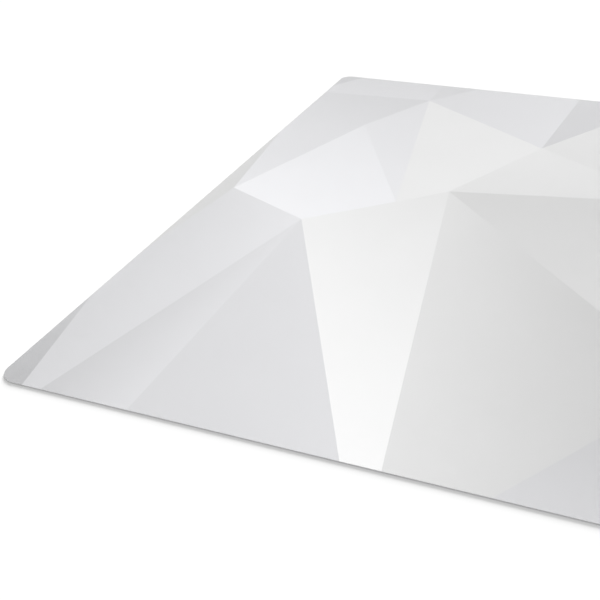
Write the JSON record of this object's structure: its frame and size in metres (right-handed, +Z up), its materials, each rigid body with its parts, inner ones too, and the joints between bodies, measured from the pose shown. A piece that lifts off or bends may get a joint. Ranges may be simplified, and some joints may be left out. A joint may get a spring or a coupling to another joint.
{
  "type": "chair mat",
  "caption": "Flat rectangular floor mat for an office chair: rounded corners, non-slip underside, rigid core, and a grey and white faceted print under a clear matt film.",
  "frame": {"origin": "centre of the underside, where the mat rests on the floor", "axes": "+Z up out of the printed face, +Y along the long side, +X along the short side"},
  "size_m": [1, 1.4, 0.0018],
  "materials": {
    "backing": "soft matt anti-slip coat with a fine pebble grain",
    "core": "light grey rigid sheet, satin cut edge",
    "adhesive": "clear pressure-sensitive adhesive",
    "print": "white film printed with grey and white facets",
    "clear_film": "clear film with a fine matt grain, frosted at its cut edge"
  },
  "bodies": {
    "root": {"grip_backing": "backing", "core_sheet": "core", "print_adhesive": "adhesive", "printed_film": "print", "laminate_adhesive": "adhesive", "wear_layer": "clear_film"}
  },
  "joints": []
}
